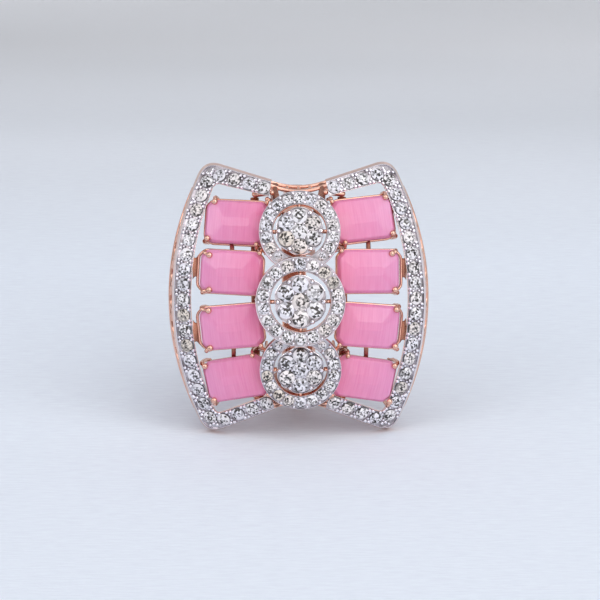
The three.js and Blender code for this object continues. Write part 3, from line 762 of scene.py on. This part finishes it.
def medallion(name, spec, end):
    """A halo plate with its diamonds and beads, and the cluster inside it."""
    place = medallion_seat(spec, end)
    section = plate_section(spec["radius"] - spec["hole"], spec["thick"], 0.0)
    plate = Shape()
    profile = [(spec["radius"] - inwards, -drop) for inwards, drop, _ in section]
    points, faces = turned(profile, 144)
    plate.add(points, faces, section_kinds(section, 144, closed=True), place)
    halo = make(f"halo_plate_{name}", plate, METALS, [f"halo_{name}"])
    if end:
        cut_by_middle(halo)

    stones, beads = Shape(), Shape()
    sunk = Matrix.Translation((0, 0, -GIRDLE_DEPTH + 0.03))
    for i in range(HALO_STONES):
        here, room = halo_seat(spec, end, place, i)
        size = min(spec["stone"], 2 * room - 0.08)
        if size > 0.6:
            add_brilliant(stones, here @ sunk, size)
        between, room = halo_seat(spec, end, place, i + 0.5)
        if room > 0.6:
            add_beads(beads, between, [(0.45, 0.0), (-0.42, 0.0)], 0.17)
    make(f"halo_stones_{name}", stones, [DIAMOND], [f"halo_{name}_diamonds"], flat=True)
    make(f"halo_beads_{name}", beads, METALS, [])

    cluster(name, spec, end, place)


def cluster_dish(radius):
    """Points, faces and materials of a round seat with six shallow notches in its rim."""
    profile = [
        (radius * 0.86, -DISH_THICK), (radius * 0.97, -0.5), (radius, -0.16),
        (radius - 0.02, -0.06), (radius - 0.06, -0.04), (radius - 0.1, -0.2),
    ]
    segments, size = 96, len(profile)
    loops = []
    for i in range(segments):
        a = 2 * math.pi * i / segments
        notch = 1 - 0.05 * (0.5 + 0.5 * math.cos(6 * a)) ** 2
        loops.append([Vector((r * notch * math.cos(a), r * notch * math.sin(a), z)) for r, z in profile])
    points, faces = loft(loops, closed=True)
    # A disc below and one above take the place of the faces from the profile's end to its start.
    walls = [f for k, f in enumerate(faces) if k % size != size - 1]
    foot = [i * size for i in range(segments)]
    floor = [i * size + size - 1 for i in range(segments)]
    kinds = [ROSE_KIND, ROSE_KIND, WHITE_KIND, WHITE_KIND, WHITE_KIND] * segments
    return points, walls + [foot, floor[::-1]], kinds + [ROSE_KIND, RHODIUM_SHADE_KIND]


def cluster(name, spec, end, place):
    """Seven diamonds in shared claws on a round seat, pinned to the halo."""
    radius = spec["dish"]
    dish = Shape()
    points, faces, kinds = cluster_dish(radius)
    dish.add(points, faces, kinds, place)
    for x, y in ((1, 0), (-1, 0), (0, 1), (0, -1)):
        if end and y == -end:
            continue  # the middle medallion's wall stands there
        pin = [place @ Vector((x * r, y * r, -0.42)) for r in (radius - 0.1, spec["hole"] + 0.02)]
        dish.add(*tube(pin, 0.2, sides=12), ROSE_SHADE_KIND)
        pin_head = place @ Vector((x * (radius + 0.08), y * (radius + 0.08), -0.16))
        dish.add(*ball(pin_head, 0.15), ROSE_KIND)

    stones = Shape()
    stone, reach = radius * 0.655, radius * 0.63
    for i in range(7):
        angle = math.pi / 2 + i * math.pi / 3
        r = 0 if i == 0 else reach
        spot = Matrix.Translation((r * math.cos(angle), r * math.sin(angle), -GIRDLE_DEPTH + 0.06))
        add_brilliant(stones, place @ spot, stone * (1.04 if i == 0 else 0.97))
    for i in range(6):
        angle = i * math.pi / 3
        for r, bead in ((radius * 0.86, 0.25), (radius * 0.35, 0.12)):
            spot = (r * math.cos(angle), r * math.sin(angle))
            add_beads(dish, place, [spot], bead)
    make(f"cluster_seat_{name}", dish, METALS, [f"cluster_{name}"])
    make(f"cluster_stones_{name}", stones, [DIAMOND], [f"cluster_{name}_diamonds"], flat=True)


medallion("top", OUTER, 1)
medallion("middle", MIDDLE, 0)
medallion("bottom", OUTER, -1)


# ---------------------------------------------------------------- pink stones and their baskets
def gem_seat(name, side, row):
    """The seat of a pink stone: Z out of its table, X along it away from the head's middle."""
    x, z, turn, sink = GEM_ROWS[row]
    more_x, more_z, more_turn = HAND_SET.get(f"{name}_{row}", (0, 0, 0))
    x, z, angle = x + more_x, z + more_z, math.radians(turn + more_turn)
    along = (side * math.cos(angle), 0, math.copysign(math.sin(angle), z))
    out = Vector((side * x, -math.sqrt(DOME_RADIUS**2 - x * x - z * z), z * GEM_STAND)).normalized()
    return seat(at(side * x, dome_height(x, z), z) - out * sink, out, along)


def gem_outline(inset, stretch=0.0, soft=0.2):
    """A rectangle with cut corners, each corner point eased into three."""
    a, b = GEM_LENGTH / 2 - inset, GEM_WIDTH / 2 - inset
    c = max(GEM_CUT - inset * 0.25, 0.12)
    a2 = a + stretch
    sharp = [
        (a2, c - b), (a2, b - c), (a2 - c, b), (c - a, b),
        (-a, b - c), (-a, c - b), (c - a, -b), (a2 - c, -b),
    ]
    points = []
    for i, corner in enumerate(sharp):
        corner = Vector(corner)
        before, after = Vector(sharp[i - 1]), Vector(sharp[(i + 1) % 8])
        ease = min(soft, 0.3 * (before - corner).length, 0.3 * (after - corner).length)
        p = corner + (before - corner).normalized() * ease
        q = corner + (after - corner).normalized() * ease
        points += [p, (p + q) / 4 + corner / 2, q]
    return points


def gem(name, side, row):
    """A step-cut pavilion, a narrow bevel and a low crown like a hipped roof."""
    levels = [  # inset and height
        (1.7, -1.5), (0.9, -0.85), (0.02, -0.1), (0.0, -0.06), (0.0, 0.0), (0.04, 0.07),
        (0.2, 0.27), (0.28, 0.33), (1.62, 0.56),
    ]
    loops = [[Vector((p.x, p.y, h)) for p in gem_outline(inset)] for inset, h in levels]
    shape = Shape()
    shape.add(*loft(loops))
    place = gem_seat(name, side, row)
    make(f"stone_{name}_{row}", shape, [PINK], [f"gem_{name}_{row}"], place, 7)


CORNER = (0.75, 0.66)  # the direction from a stone out past one of its corners
CLAW_TIPS = {  # the balls at a stone's outer end: the one far from the head's middle, and the near one
    "left_1": ((2.15, 1.8), (2.6, 1.68)),
    "right_1": ((2.4, 1.78), (2.6, 1.68)),
    "left_2": ((2.1, 1.5), (1.95, 1.74)),
    "right_2": ((2.2, 1.64), (2.48, 1.74)),
    "left_3": ((2.2, 1.78), (1.95, 1.74)),
    "right_3": ((2.72, 1.74), (2.48, 1.74)),
    "left_4": ((2.45, 1.7), (2.6, 1.68)),
    "right_4": ((2.85, 1.8), (2.6, 1.68)),
}


def claw(shape, x, y, lean, radius):
    """A claw that rises outside the stone and bends over its edge into a ball."""
    # Past a corner the foot stands on the wire, however far in the ball reaches.
    foot_x = max(x, 2.35) if lean[0] > 0.5 else x
    base = Vector((foot_x, y)) + Vector(lean) * (radius + 0.12)
    runs = [(-0.4, FOOT_LEVEL), (-0.1, -1.1), (0.0, -0.5), (0.0, 0.0), (-0.07, 0.24), (-0.25, 0.4)]
    path = [Vector((base.x + lean[0] * r, base.y + lean[1] * r, h)) for r, h in runs]
    path.append(Vector((x, y, 0.24)))
    widths = [0.18, 0.19, 0.2, 0.2, 0.19, 0.17, 0.12]
    shape.add(*tube(path, [w * min(1, radius / 0.32) for w in widths], sides=12), ROSE_KIND)
    shape.add(*ball(Vector((x, y, 0.42)), radius * 0.92, 18, 0.95), ROSE_KIND)


def basket(name, side, row):
    """Two wires round the stone and the claws that stand on them."""
    outer_row = row in "14"
    shape = Shape()
    up = Vector((0, 0, 1))
    stretch = 0.0 if outer_row else WIRE_OUTER_END
    inset = WIRE_INSETS.get(row, WIRE_INSET)
    rim = [Vector((p.x, p.y, WIRE_LEVEL)) for p in gem_outline(inset, stretch, 0.3)]
    shape.add(*sweep(rim, rounded_section(0.42, 0.24, 0.11), up, closed=True), ROSE_KIND)
    foot_wire = [Vector((p.x, p.y, FOOT_LEVEL)) for p in gem_outline(FOOT_INSET)]
    shape.add(*sweep(foot_wire, rounded_section(0.34, 0.34, 0.14), up, closed=True), ROSE_SHADE_KIND)
    far = side * math.copysign(1, GEM_ROWS[row][1])
    far_tip, near_tip = CLAW_TIPS[f"{name}_{row}"]
    if outer_row:
        claws = [
            (far_tip[0], far * far_tip[1], (0.1, far), 0.33),
            (near_tip[0], -far * near_tip[1], (CORNER[0], -far * CORNER[1]), 0.33),
            (-2.15, -far * 2.02, (0, -far), 0.27),
            (-2.85, far * 1.95, (-0.5, far * 0.87), 0.24),
        ]
    else:
        claws = [
            (far_tip[0], far * far_tip[1], (CORNER[0], far * CORNER[1]), 0.34),
            (near_tip[0], -far * near_tip[1], (CORNER[0], -far * CORNER[1]), 0.34),
            (-2.72, far * 1.92, (-0.3, far * 0.95), 0.25),
        ]
    for x, y, lean, radius in claws:
        claw(shape, x, y, lean, radius)
    place = gem_seat(name, side, row)
    make(f"claws_{name}_{row}", shape, METALS, [f"basket_{name}_{row}"], place, 60)


for side_name, side_sign in SIDES.items():
    for row_name in GEM_ROWS:
        gem(side_name, side_sign, row_name)
        basket(side_name, side_sign, row_name)


# ---------------------------------------------------------------- struts and links
def wire_point(name, side, row, x, y):
    """A point at the level of a basket's upper wire, in the stone's own plan."""
    return gem_seat(name, side, row) @ Vector((x, y, WIRE_LEVEL))


def struts_and_links(name, side, end_name, end):
    """The bar between two neighbouring baskets, and the link from the inner one to the frame."""
    near, far = ("2", "1") if end > 0 else ("3", "4")
    edge = GEM_WIDTH / 2 - WIRE_INSET
    start = wire_point(name, side, near, 0.15, side * end * edge)
    finish = wire_point(name, side, far, 0.65, -side * end * edge)
    finish.x = start.x
    strut = Shape()
    path = straight(start, finish, 6)
    strut.add(*sweep(path, rounded_section(0.42, 0.4, 0.1), Vector((1, 0, 0))), ROSE_SHADE_KIND)
    make(f"cross_bar_{name}_{end_name}", strut, METALS, [f"strut_{name}_{end_name}"])

    reach = GEM_LENGTH / 2 - WIRE_INSET + WIRE_OUTER_END
    start = wire_point(name, side, near, reach, side * end * 0.3) + Vector((0, LINK_SINK, 0))
    finish = start.copy()
    finish.x = side * (on_circle(SIDE_X - RAIL_WIDTH, SIDE_RADIUS - RAIL_WIDTH, start.z) + 0.02)
    link = Shape()
    path = straight(start, finish, 6)
    link.add(*sweep(path, waisted(1.75, 0.6, 0.5, 0.16), Vector((0, 0, 1))), ROSE_SHADE_KIND)
    make(f"rail_link_{name}_{end_name}", link, METALS, [f"link_{name}_{end_name}"])


for side_name, side_sign in SIDES.items():
    for end_label, end_sign in ENDS.items():
        struts_and_links(side_name, side_sign, end_label, end_sign)


# ---------------------------------------------------------------- spines and straps
def spine(name, side):
    """A long rail under the baskets, with a post up to each medallion."""
    shape = Shape()

    def level(z):
        return dome_height(SPINE_X, z) - SPINE_DROP - SPINE_THICK / 2

    path = []
    for i in range(61):
        z = -SPINE_END_Z + 2 * SPINE_END_Z * i / 60
        path.append(at(side * SPINE_X, level(z), z))
    section = rounded_section(SPINE_WIDTH, SPINE_THICK, 0.22)
    shape.add(*sweep(path, section, Vector((1, 0, 0))), ROSE_SHADE_KIND)
    outer_head = OUTER["height"] - OUTER["thick"] / math.cos(MEDALLION_TILT) - 0.05
    outer_head += (MEDALLION_PITCH - POST_Z_OUTER) * math.tan(MEDALLION_TILT)
    heads = [(POST_X_MIDDLE, MIDDLE["height"] - MIDDLE["thick"] + 0.02, 0.0)]
    heads += [(POST_X_OUTER, outer_head, z) for z in (POST_Z_OUTER, -POST_Z_OUTER)]
    for x, height, z in heads:
        post = straight(at(side * SPINE_X, level(z), z), at(side * x, height, z), 8)
        widths = [0.27 - 0.06 * math.sin(math.pi * i / 8) for i in range(9)]
        shape.add(*tube(post, widths), ROSE_KIND)
    make(f"under_rail_{name}", shape, METALS, [f"spine_{name}"])


def strap_rails(shape, end, drop):
    """Two curved rails across the notch, with seven short posts between them."""

    def rail_point(rail, x):
        return at(x, rail["height"], end * (rail["middle"] - drop + rail["rise"] * x * x))

    for rail in (STRAP_OUTER, STRAP_INNER):
        path = [rail_point(rail, STRAP_HALF * (i / 20 - 1)) for i in range(41)]
        section = rounded_section(STRAP_RAIL, STRAP_DEPTH, 0.1)
        shape.add(*sweep(path, section, Vector((0, 0, end))), ROSE_KIND)
    for i in range(7):
        x = STRAP_HALF * (i / 3 - 1) * 0.95
        post = straight(rail_point(STRAP_OUTER, x), rail_point(STRAP_INNER, x), 6)
        shape.add(*sweep(post, waisted(0.34, 0.2, 0.3, 0.1), Vector((1, 0, 0))), ROSE_KIND)


def strap_side(shape, side, end, drop):
    """One side's block up to the medallion, arm and brace under the frame, and leg to the band."""
    foot = at(side * 2.2, 10.9, end * (10.45 - drop))
    elbow = at(side * 2.25, 11.9, end * (10.0 - drop))
    head = at(side * 2.05, 13.0, end * (9.25 - drop / 3))
    block = [foot, foot.lerp(elbow, 0.5), elbow, elbow.lerp(head, 0.5), head]
    shape.add(*tube(block, [0.42, 0.36, 0.33, 0.33, 0.36], sides=16), ROSE_SHADE_KIND)
    arm = at(side * 3.0, 11.6, end * (10.2 - drop))
    shape.add(*tube([arm, elbow], 0.26), ROSE_KIND)
    brace = [at(side * 2.9, 11.7, end * (9.95 - drop)), at(side * 4.1, 11.45, end * (9.78 - drop))]
    shape.add(*tube(brace, 0.3), ROSE_KIND)
    shape.add(*ball(brace[1], 0.3), ROSE_KIND)
    if end > 0:
        shape.add(*ball(at(side * 2.5, 12.25, 9.95), 0.26), ROSE_KIND)
        shape.add(*ball(at(side * 2.95, 12.3, 9.35), 0.24), ROSE_KIND)
    leg = straight(at(side * 2.4, 10.6, end * (10.45 - drop)), at(side * 1.88, 5.8, end * 7.75), 8)
    shape.add(*tube(leg, [0.36 + 0.06 * i / 8 for i in range(9)]), ROSE_SHADE_KIND)


def strap(name, end):
    """The strap that bridges the notch between the two frames at one end of the head."""
    drop = 0.0 if end > 0 else STRAP_BOTTOM_DROP
    shape = Shape()
    strap_rails(shape, end, drop)
    for side in SIDES.values():
        strap_side(shape, side, end, drop)
    make(f"notch_strap_{name}", shape, METALS, [f"strap_{name}"])


for side_name, side_sign in SIDES.items():
    spine(side_name, side_sign)
for end_label, end_sign in ENDS.items():
    strap(end_label, end_sign)


# ---------------------------------------------------------------- floor, light and camera
def floor_material():
    """Pale woven cloth; far behind the ring it turns greyer in broad soft blotches, painted shade of the
    backdrop's folds.
    """
    n = Nodes("cloth")
    near = n.ramp(n.noise(1.0, 4.0, (0.5, 3.2, 1.0)), (0.3, (0.78, 0.83, 0.92)), (0.7, (0.83, 0.89, 0.97)))
    # Painted shade: the far cloth is greyer, in broad soft blotches, for the shadowed folds of the backdrop.
    far = n.ramp(n.noise(0.02, 1.0, (0.25, 1.0, 1.0)), (0.35, (0.59, 0.60, 0.62)), (0.65, (0.73, 0.74, 0.77)))
    mix = n.add("ShaderNodeMix", data_type="RGBA")
    n.join(n.along("Y", 45.0, 150.0), mix.inputs["Factor"])
    n.join(near, mix.inputs["A"])
    n.join(far, mix.inputs["B"])
    n.join(mix.outputs["Result"], n.shader.inputs["Base Color"])
    n.set(Roughness=0.9)
    n.bump(n.noise(2.2, 3.0, (0.6, 1.6, 1.0)), 0.1, 0.6)
    return n.material


def stage():
    """A table that curves up into a backdrop far behind."""
    width, front, bend, rise = 0.9, -0.5, 0.16, 0.12
    profile = [(front, 0.0), (bend, 0.0)]
    for i in range(1, 13):
        a = math.pi / 2 * i / 12
        profile.append((bend + rise * math.sin(a), rise * (1 - math.cos(a))))
    profile.append((bend + rise, 0.8))
    points, faces = [], []
    for y, z in profile:
        points += [(-width, y, z), (width, y, z)]
    for i in range(len(profile) - 1):
        faces.append([2 * i, 2 * i + 1, 2 * i + 3, 2 * i + 2])
    mesh = bpy.data.meshes.new("table")
    mesh.from_pydata(points, [], faces)
    mesh.polygons.foreach_set("use_smooth", [True] * len(mesh.polygons))
    mesh.materials.append(floor_material())
    table = bpy.data.objects.new("table", mesh)
    bpy.context.scene.collection.objects.link(table)


def area_light(name, azimuth, elevation, distance, size, power, colour):
    """A softbox that faces the ring; azimuth 0 is in front of it, positive to its right."""
    light = bpy.data.lights.new(name, "AREA")
    light.shape, light.size, light.energy, light.color = "DISK", size, power, colour
    lamp = bpy.data.objects.new(name, light)
    a, e = math.radians(azimuth), math.radians(elevation)
    away = Vector((math.sin(a) * math.cos(e), -math.cos(a) * math.cos(e), math.sin(e)))
    lamp.location = Vector((0, 0, 0.012)) + away * distance
    lamp.rotation_mode = "QUATERNION"
    lamp.rotation_quaternion = (-away).to_track_quat("-Z", "Y")
    bpy.context.scene.collection.objects.link(lamp)


def lighting():
    """Soft patches of bright and dark all round, which the metal mirrors, and four softboxes."""
    world = bpy.data.worlds.new("studio")
    world.use_nodes = True
    tree = world.node_tree
    background = tree.nodes["Background"]
    place = tree.nodes.new("ShaderNodeTexCoord")
    panels = tree.nodes.new("ShaderNodeTexNoise")
    panels.inputs["Scale"].default_value = 2.6
    panels.inputs["Detail"].default_value = 0.0
    ramp = tree.nodes.new("ShaderNodeValToRGB")
    dark, bright = ramp.color_ramp.elements
    dark.position, dark.color = 0.42, (0.05, 0.05, 0.06, 1)
    bright.position, bright.color = 0.5, (0.95, 0.97, 1.0, 1)
    tree.links.new(place.outputs["Generated"], panels.inputs["Vector"])
    tree.links.new(panels.outputs["Fac"], ramp.inputs["Fac"])
    tree.links.new(ramp.outputs["Color"], background.inputs["Color"])
    background.inputs["Strength"].default_value = 1.0
    bpy.context.scene.world = world
    area_light("key", 38, 38, 0.6, 0.5, 1.05, (1.0, 0.98, 0.96))
    area_light("fill", -50, 30, 0.7, 0.4, 0.55, (1.0, 0.93, 0.94))
    area_light("top", 0, 80, 0.6, 0.5, 0.38, (1.0, 1.0, 1.0))
    area_light("low", 10, 7, 0.6, 0.5, 0.24, (1.0, 0.86, 0.9))


def camera():
    """Looks at the middle medallion from a little above and left of the head's own direction."""
    up = RING.to_3x3() @ Vector((0, 0, 1))
    lean = math.atan2(up.y, up.z)
    azimuth, elevation, distance = math.radians(-1.5), lean + math.radians(4.0), 0.35
    away = Vector(
        (
            math.sin(azimuth) * math.cos(elevation),
            -math.cos(azimuth) * math.cos(elevation),
            math.sin(elevation),
        )
    )
    data = bpy.data.cameras.new("camera")
    data.sensor_width, data.lens = 36.0, 227.0
    data.clip_start, data.clip_end = 0.01, 10.0
    eye = bpy.data.objects.new("camera", data)
    bpy.context.scene.collection.objects.link(eye)
    target = RING @ (at(0, MIDDLE["height"], 0) * MM) + Vector((-0.00005, 0, 0.00018))
    eye.location = target + away * distance
    eye.rotation_mode = "QUATERNION"
    eye.rotation_quaternion = (-away).to_track_quat("-Z", "Y")
    bpy.context.scene.camera = eye


stage()
lighting()
camera()
bpy.context.scene.view_settings.view_transform = "Standard"
